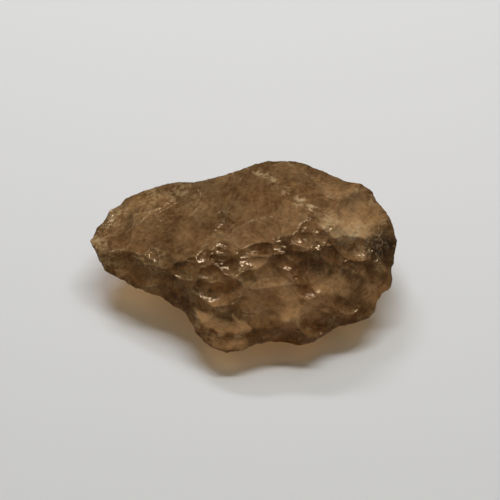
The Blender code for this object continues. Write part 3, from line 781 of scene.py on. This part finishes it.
SHARP_OVER = math.radians(75)       # edges that turn more are shaded sharp
bm = bmesh.new()
dull_layer = bm.verts.layers.float.new("dull")
fan_layer = bm.verts.layers.float_vector.new("fan")
facet_layer = bm.verts.layers.float.new("facet")
crest_highlight_layer = bm.verts.layers.float.new("crest")
rim_verts = [bm.verts.new(co) for co in placed(edge_u, edge_v, edge_w)]
fine_side(bm, rim_verts, TOP_GRAIN, top, 1)
fine_side(bm, rim_verts, UNDER_GRAIN, under, -1)
bmesh.ops.delete(bm, geom=[e for e in bm.edges if not e.link_faces], context="EDGES")
bmesh.ops.delete(bm, geom=[v for v in bm.verts if not v.link_faces], context="VERTS")
bmesh.ops.recalc_face_normals(bm, faces=bm.faces)
for f in bm.faces:
    f.smooth = True
for e in bm.edges:
    e.smooth = e.calc_face_angle(3.0) < SHARP_OVER
mesh = bpy.data.meshes.new("quartz_stone")
bm.to_mesh(mesh)
bm.free()

# How milky, how amber and how frosted each spot is, and its painted light and painted shade, for the
# material.
VEILS = [                           # U, V, radius and strength of the milky places
    (-33.5, 4.5, 5.5, 0.65), (-29.0, 9.5, 4.0, 0.35), (-22.0, 14.5, 4.5, 0.35), (-15.5, 15.0, 4.0, 0.35),
    (-11.0, 13.5, 4.0, 0.3), (19.0, 6.5, 4.0, 0.7), (21.5, 5.0, 4.0, 0.9), (25.5, 3.6, 4.5, 1.2),
    (3.4, 18.8, 1.4, 0.7), (6.5, 16.8, 1.5, 0.7), (9.5, 14.8, 1.5, 0.8), (12.6, 12.6, 1.6, 0.9),
    (15.2, 10.6, 1.8, 1.2), (-31.0, -1.0, 3.5, 0.5), (28.5, 13.0, 2.5, 0.6),
]
PAINTED_LIGHT_AND_SHADE = [                           # U, V, radius, and how much lighter (+) or darker (-) the colour is painted there: painted light and painted shade
    (25.0, 9.0, 8.0, 0.45), (7.0, -9.0, 15.0, 0.35), (15.0, 12.7, 7.5, 0.2), (-1.0, -20.0, 2.8, 0.5),
    (20.6, -7.7, 6.0, 0.3), (14.5, -12.5, 4.5, 0.35), (3.0, -7.5, 6.0, 0.2), (29.5, -8.0, 5.0, 0.55),
    (-5.9, -7.2, 4.0, 0.4), (-20.0, 4.5, 9.0, -0.2), (5.0, -1.8, 3.0, 0.3),
    (9.3, 2.5, 2.6, -0.5), (6.0, -0.5, 3.4, -0.35), (-5.4, -0.5, 3.2, -0.6), (0.0, -4.3, 3.0, -0.3),
    (32.0, 1.4, 4.5, -0.6), (-21.0, -5.4, 8.0, 0.15), (-10.0, 7.0, 3.4, -0.35), (-5.0, 9.3, 3.0, -0.45),
    (27.4, -14.0, 3.0, -0.2), (16.0, 0.5, 3.0, -0.25), (-13.0, -8.0, 4.0, -0.2),
]
# Painted light in clear panes, where light comes through a thin place: how much lighter, how far the edge
# fades in mm, then the corners, U and V.
PANES = [
    (1.5, 1.1, [(-10.7, -12.4), (-8.8, -12.6), (-5.4, -13.9), (-2.5, -14.9), (-2.0, -17.2), (-5.4, -17.2),
                (-8.2, -16.2), (-10.0, -14.5)]),
    (1.6, 1.1, [(-2.2, -13.4), (-0.2, -14.5), (1.7, -15.6), (1.4, -17.0), (-2.0, -17.2)]),
    (0.55, 1.0, [(-9.6, -18.1), (-7.0, -17.9), (-3.6, -18.6), (0.5, -19.0), (-3.0, -20.8), (-6.2, -20.8),
                 (-8.4, -19.4)]),
    (0.65, 2.5, [(5.1, -5.4), (8.2, -5.8), (12.1, -8.1), (13.9, -10.7), (12.9, -13.9), (9.7, -15.6),
                 (7.0, -14.1), (8.8, -10.7), (7.5, -8.1)]),
    (0.7, 2.0, [(15.3, -6.2), (17.6, -4.3), (21.4, -4.1), (23.3, -5.4), (22.9, -8.1), (19.5, -8.8),
                (16.5, -8.1)]),
    (0.6, 4.0, [(17.0, 9.0), (24.0, 9.0), (29.0, 6.0), (28.0, 1.5), (24.0, 0.8), (20.0, 3.0), (16.5, 5.0)]),
]
AMBER = [                           # U, V, radius, and how much deeper the amber is there
    (7.0, -17.2, 5.0, 0.25), (-16.0, -9.5, 4.5, 0.3), (22.5, -13.0, 4.0, 0.2), (2.5, -10.5, 4.5, 0.35),
]
FACET_TONE = 0.20                   # how much one scar's tone differs from the next
WAVER = 2.0                         # the length over which the outlines of patches waver, mm
VEIL_STRAY = 0.25                   # how far they stray, in radii,
TONE_STRAY = 0.6
AMBER_STRAY = 0.4
PANE_STRAY = 0.8                    # and for panes in mm
FIRM = 1.5                          # as patch's firm,
TONE_FIRM = 1.4
TONE_MOST = 1.2
SHADED = 4                          # how soon a milky place ends where the stone turns under
FROST_FROM = 0.3                    # how frosted a face is that stands square to the rim plane,
FROST_TURN = 2.0                    # how soon that ends as it turns up,
FROST_MOST = 0.15                   # and the most
points = np.empty(len(mesh.vertices) * 3)
mesh.vertices.foreach_get("co", points)
points = points.reshape(-1, 3) / MM + (HOME[0], HOME[1], 0.0)
along_u = points[:, 0]
along_v = points[:, 1] * CS + points[:, 2] * SN
facing = np.array([n.vector.z * CS - n.vector.y * SN for n in mesh.vertex_normals])
waver = hum(along_u, along_v, WAVER, 51.0)
sway = hum(along_u, along_v, WAVER, 57.0)


def from_middle(mid_u, mid_v, stray):
    """How far each point is from the middle of a patch with a wavering outline."""
    return np.hypot(along_u - mid_u + stray * waver, along_v - mid_v + stray * sway)


veil = np.zeros(len(along_u))
for mid_u, mid_v, radius, much in VEILS:
    near = from_middle(mid_u, mid_v, VEIL_STRAY * radius)
    veil = np.maximum(veil, much * patch(near, radius, FIRM) * np.clip(0.5 + SHADED * facing, 0, 1))
# Each scar's own random tone, then the painted light and painted shade of the listed patches and panes.
tone_painted_light_and_shade = np.empty(len(along_u))
mesh.attributes["facet"].data.foreach_get("value", tone_painted_light_and_shade)
tone_painted_light_and_shade = FACET_TONE * tone_painted_light_and_shade
for mid_u, mid_v, radius, much in PAINTED_LIGHT_AND_SHADE:
    tone_painted_light_and_shade = tone_painted_light_and_shade + much * patch(from_middle(mid_u, mid_v, TONE_STRAY * radius), radius, TONE_FIRM)
for much, fade, corners in PANES:
    inside, gap = inside_and_gap(along_u + PANE_STRAY * waver, along_v + PANE_STRAY * sway, np.array(corners))
    tone_painted_light_and_shade = tone_painted_light_and_shade + much * np.clip(0.5 + np.where(inside, gap, -gap) / fade, 0, 1)
amber = np.zeros(len(along_u))
for mid_u, mid_v, radius, much in AMBER:
    amber = np.maximum(amber, much * patch(from_middle(mid_u, mid_v, AMBER_STRAY * radius), radius, FIRM))
coarse_end = patch(np.hypot(along_u - ROUGH_END[0], along_v - ROUGH_END[1]), ROUGH_END[2], FIRM)
layers = {
    "amber": amber,
    "tone_painted_light_and_shade": np.clip(tone_painted_light_and_shade, -1, TONE_MOST),
    "frost": np.clip(FROST_FROM - FROST_TURN * facing, 0.0, FROST_MOST),
    "veil": veil,
    "rough_end": coarse_end,
}
for name, values in layers.items():
    mesh.attributes.new(name, "FLOAT", "POINT").data.foreach_set("value", values)
stone = bpy.data.objects.new("quartz_stone", mesh)
bpy.context.scene.collection.objects.link(stone)


def srgb(hex_code):
    """An sRGB hex colour as linear RGBA."""
    parts = [int(hex_code[k:k + 2], 16) / 255 for k in (0, 2, 4)]
    return tuple(c / 12.92 if c <= 0.04045 else ((c + 0.055) / 1.055) ** 2.4 for c in parts) + (1.0,)


def node(tree, kind, settings=None, links=None, **values):
    """Adds a node; settings are its properties, links and values its inputs by name or number."""
    made = tree.nodes.new(kind)
    for key, value in (settings or {}).items():
        setattr(made, key, value)
    for key, value in values.items():
        made.inputs[key.replace("_", " ")].default_value = value
    for key, source in (links or {}).items():
        if isinstance(source, bpy.types.NodeSocket):
            tree.links.new(source, made.inputs[key])
        else:
            made.inputs[key].default_value = source
    return made


# Smoky quartz, conchoidal fracture: a see-through brown that deepens with thickness, cloudy inside in streaks
# and patches, under a glassy skin whose finest hackles catch the light.
CLOUDS = 0.22                       # how many to a mm
FLECKS = 1.1
HACKLES = 4.5                       # and across the fan
STREAKS = 5.1
HAIRS = 7.5
HACKLE_DEEP = 0.03                  # mm
quartz = bpy.data.materials.new("smoky_quartz_fracture")
quartz.use_nodes = True
tree = quartz.node_tree
tree.nodes.clear()
at = node(tree, "ShaderNodeTexCoord").outputs["Object"]
dull, frost, milk, coarse, tone_painted_light_and_shade, amber, crest = (
    node(tree, "ShaderNodeAttribute", {"attribute_name": name}).outputs["Fac"]
    for name in ("dull", "frost", "veil", "rough_end", "tone_painted_light_and_shade", "amber", "crest"))
fan = node(tree, "ShaderNodeAttribute", {"attribute_name": "fan"}).outputs["Vector"]
cloud = node(tree, "ShaderNodeTexNoise", links={"Vector": at},
             Scale=CLOUDS / MM, Detail=6.0, Roughness=0.65).outputs[0]
fleck = node(tree, "ShaderNodeTexNoise", links={"Vector": at},
             Scale=FLECKS / MM, Detail=3.0, Roughness=0.6).outputs[0]
hackles = node(tree, "ShaderNodeTexNoise", links={"Vector": fan},
               Scale=HACKLES / FAN_ACROSS, Detail=3.0, Roughness=0.6).outputs[0]
streak = node(tree, "ShaderNodeTexNoise", links={"Vector": fan},
              Scale=STREAKS / FAN_ACROSS, Detail=5.0, Roughness=0.7).outputs[0]
bump = node(tree, "ShaderNodeBump", links={"Height": hackles},
            Strength=1.0, Distance=HACKLE_DEEP * MM).outputs[0]
# Brown, mottled by all three, deeper amber by place, then painted light (toward a glowing gold) and painted
# shade (toward a dark brown) by place.
grain = node(tree, "ShaderNodeMath", {"operation": "MULTIPLY_ADD"}, {0: fleck, 1: 1.0, 2: cloud}).outputs[0]
mottle = node(tree, "ShaderNodeMath", {"operation": "MULTIPLY_ADD"}, {0: streak, 1: 1.2, 2: grain}).outputs[0]
shade = node(tree, "ShaderNodeMapRange",
             links={"Value": mottle, "From Min": 1.30, "From Max": 1.90}).outputs[0]
brown = node(tree, "ShaderNodeMix", {"data_type": "RGBA"},
             {0: shade, 6: srgb("74502c"), 7: srgb("be9664")}).outputs[2]
# Painted light: where the tone is above nought, the colour is lifted toward a glowing gold.
glow = node(tree, "ShaderNodeMapRange",
            links={"Value": tone_painted_light_and_shade, "From Max": TONE_MOST, "To Max": TONE_MOST}).outputs[0]
# Painted shade: where the tone is below nought, deep darkens the colour toward a dark brown.
painted_shade = node(tree, "ShaderNodeMapRange", links={"Value": tone_painted_light_and_shade, "From Max": -1.0, "To Max": 1.0}).outputs[0]
zoned = node(tree, "ShaderNodeMix", {"data_type": "RGBA"}, {0: amber, 6: brown, 7: srgb("8a4e16")}).outputs[2]
speckled = node(tree, "ShaderNodeMapRange", links={"Value": shade, "To Min": 0.55}).outputs[0]
shown = node(tree, "ShaderNodeMath", {"operation": "MULTIPLY"}, {0: glow, 1: speckled}).outputs[0]
lit = node(tree, "ShaderNodeMix", {"data_type": "RGBA"}, {0: shown, 6: zoned, 7: srgb("f2c084")}).outputs[2]
deep = node(tree, "ShaderNodeMix", {"data_type": "RGBA"}, {0: painted_shade, 6: lit, 7: srgb("402810")}).outputs[2]
# Milky flaws, and dark brown specks over the rough end.
flaws = node(tree, "ShaderNodeMath", {"operation": "ADD"}, {0: cloud, 1: fleck}).outputs[0]
broken = node(tree, "ShaderNodeMapRange",
              links={"Value": flaws, "From Min": 0.92, "From Max": 1.16}).outputs[0]
pale = node(tree, "ShaderNodeMath", {"operation": "MULTIPLY"}, {0: milk, 1: broken}).outputs[0]
milky = node(tree, "ShaderNodeMix", {"data_type": "RGBA"}, {0: pale, 6: deep, 7: srgb("e0c496")}).outputs[2]
grit = node(tree, "ShaderNodeMapRange", links={"Value": fleck, "From Min": 0.36, "From Max": 0.54}).outputs[0]
dark_specks = node(tree, "ShaderNodeMath", {"operation": "MULTIPLY"}, {0: coarse, 1: grit}).outputs[0]
specked = node(tree, "ShaderNodeMix", {"data_type": "RGBA"}, {0: dark_specks, 6: milky, 7: srgb("2c1c0e")}).outputs[2]
# Hair cracks: thin pale lines that wander across the glassy scars, and a painted highlight along the crests
# and creases.
drift = node(tree, "ShaderNodeTexNoise", links={"Vector": fan},
             Scale=HAIRS / FAN_ACROSS, Detail=2.0, Distortion=0.8).outputs[0]
level = node(tree, "ShaderNodeMath", {"operation": "SUBTRACT"}, {0: drift, 1: 0.5}).outputs[0]
off = node(tree, "ShaderNodeMath", {"operation": "ABSOLUTE"}, {0: level}).outputs[0]
line = node(tree, "ShaderNodeMapRange",
            links={"Value": off, "From Max": 0.035, "To Min": 1.0, "To Max": 0.0}).outputs[0]
some = node(tree, "ShaderNodeMapRange", links={"Value": cloud, "From Min": 0.48, "From Max": 0.62}).outputs[0]
fewer = node(tree, "ShaderNodeMapRange", links={"Value": dull, "To Min": 1.0, "To Max": 0.35}).outputs[0]
below = node(tree, "ShaderNodeMapRange",
             links={"Value": frost, "From Max": FROST_MOST, "To Min": 1.0, "To Max": 0.3}).outputs[0]
lines = node(tree, "ShaderNodeMath", {"operation": "MULTIPLY"}, {0: line, 1: some}).outputs[0]
least = node(tree, "ShaderNodeMath", {"operation": "MULTIPLY"}, {0: fewer, 1: below}).outputs[0]
hairs = node(tree, "ShaderNodeMath", {"operation": "MULTIPLY"}, {0: lines, 1: least}).outputs[0]
# The painted highlight along the crests and creases, where the clouds allow it.
painted_crest_highlight = node(tree, "ShaderNodeMath", {"operation": "MULTIPLY"}, {0: crest, 1: some}).outputs[0]
cracks_and_crest_highlight = node(tree, "ShaderNodeMath", {"operation": "MAXIMUM"}, {0: hairs, 1: painted_crest_highlight}).outputs[0]
bright = node(tree, "ShaderNodeMath", {"operation": "MULTIPLY"}, {0: cracks_and_crest_highlight, 1: 0.85}).outputs[0]
tint = node(tree, "ShaderNodeMix", {"data_type": "RGBA"},
            {0: bright, 6: specked, 7: srgb("e6c898")}).outputs[2]
# Where it is cloudy, and where painted light or the painted crest highlight lies, less light goes through.
lighter = node(tree, "ShaderNodeMath", {"operation": "MAXIMUM"}, {0: pale, 1: shown}).outputs[0]
cloudy_and_painted_light = node(tree, "ShaderNodeMath", {"operation": "MAXIMUM"}, {0: lighter, 1: bright}).outputs[0]
clear = node(tree, "ShaderNodeMapRange", links={"Value": cloudy_and_painted_light, "To Min": 0.64, "To Max": 0.34}).outputs[0]
matt = node(tree, "ShaderNodeMapRange", links={"Value": dull, "To Min": 0.03, "To Max": 0.18}).outputs[0]
rough = node(tree, "ShaderNodeMix", links={0: frost, 2: matt, 3: 0.30}).outputs[0]
shader = node(tree, "ShaderNodeBsdfPrincipled",
              links={"Base Color": tint, "Roughness": rough, "Normal": bump, "Transmission Weight": clear,
                     "Specular Tint": srgb("ffe7c8")},
              IOR=1.544)
absorb = node(tree, "ShaderNodeVolumeAbsorption", links={"Color": srgb("ceb581")}, Density=100.0)
# Lamp light goes through the stone to the floor, tinted, so that its shadow is a warm brown one.
passing = node(tree, "ShaderNodeBsdfTransparent", links={"Color": srgb("aaa495")}).outputs[0]
lamp_ray = node(tree, "ShaderNodeLightPath").outputs["Is Shadow Ray"]
skin_or_light = node(tree, "ShaderNodeMixShader",
                     links={0: lamp_ray, 1: shader.outputs[0], 2: passing}).outputs[0]
node(tree, "ShaderNodeOutputMaterial", links={"Surface": skin_or_light, "Volume": absorb.outputs[0]})
mesh.materials.append(quartz)
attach(stone, "root")
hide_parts("smoky_quartz_chunk")

# ---- Floor, light and camera -------------------------------------------------------------------------------
# A sheet of pale matt card under the stone, and soft studio light: one long tube overhead, doubled for its
# glints alone, a diffuser round it, and a fainter lamp behind. The card isn't mirrored in the stone's skin.
FLOOR_WIDE = 4.0                    # m
card = bpy.data.materials.new("pale_card")
card.use_nodes = True
paper = card.node_tree.nodes["Principled BSDF"]
paper.inputs["Base Color"].default_value = srgb("e2e3e4")
paper.inputs["Roughness"].default_value = 0.9
bpy.ops.mesh.primitive_plane_add(size=FLOOR_WIDE)
floor = bpy.context.object
floor.name = "floor"
floor.data.materials.append(card)
floor.visible_glossy = False

world = bpy.data.worlds.new("studio")
world.use_nodes = True
air = world.node_tree.nodes["Background"]
air.inputs["Color"].default_value = srgb("f4f2ee")
air.inputs["Strength"].default_value = 0.09
bpy.context.scene.world = world


def lamp(name, where, size, watts, colour):
    """A long lamp that faces the stone, its length left to right; metres."""
    data = bpy.data.lights.new(name, "AREA")
    data.shape = "RECTANGLE"
    data.size, data.size_y = size
    data.energy = watts
    data.color = srgb(colour)[:3]
    made = bpy.data.objects.new(name, data)
    made.location = where
    away = Vector(where).normalized()
    across = (Vector((1, 0, 0)) - away * away.x).normalized()
    made.rotation_euler = Matrix((across, away.cross(across), away)).transposed().to_euler()
    bpy.context.scene.collection.objects.link(made)
    return made


TUBE_AT = (0.05, 0.18, 0.60)
TUBE_SIZE = (0.44, 0.06)
lamp("tube", TUBE_AT, TUBE_SIZE, 1.9, "fffcf6")
glint = lamp("glint_tube", TUBE_AT, TUBE_SIZE, 1.6, "ffeed4")
glint.visible_diffuse = False
glint.visible_transmission = False
diffuser = lamp("diffuser", (0.05, 0.26, 0.56), (0.50, 0.24), 0.8, "fffcf8")
diffuser.visible_glossy = False
behind = lamp("behind", (-0.15, 0.45, 0.50), (0.22, 0.04), 1.2, "f2f6ff")
behind.visible_glossy = False
behind.visible_transmission = False

LOOK_AT = (1.36, 1.36, 15.0)        # U, V and W of the middle of the view, mm
LOOK_DOWN = math.radians(55)
LOOK_FROM = 0.6                     # m
camera = bpy.data.objects.new("camera", bpy.data.cameras.new("camera"))
camera.data.sensor_width = 36.0
camera.data.lens = 190.7
back = Vector((0, -math.cos(LOOK_DOWN), math.sin(LOOK_DOWN)))
camera.location = Vector(placed(*LOOK_AT)) + back * LOOK_FROM
camera.rotation_euler = (-back).to_track_quat("-Z", "Y").to_euler()
camera.data.clip_start = 0.01
bpy.context.scene.collection.objects.link(camera)
bpy.context.scene.camera = camera
bpy.context.scene.view_settings.view_transform = "Standard"
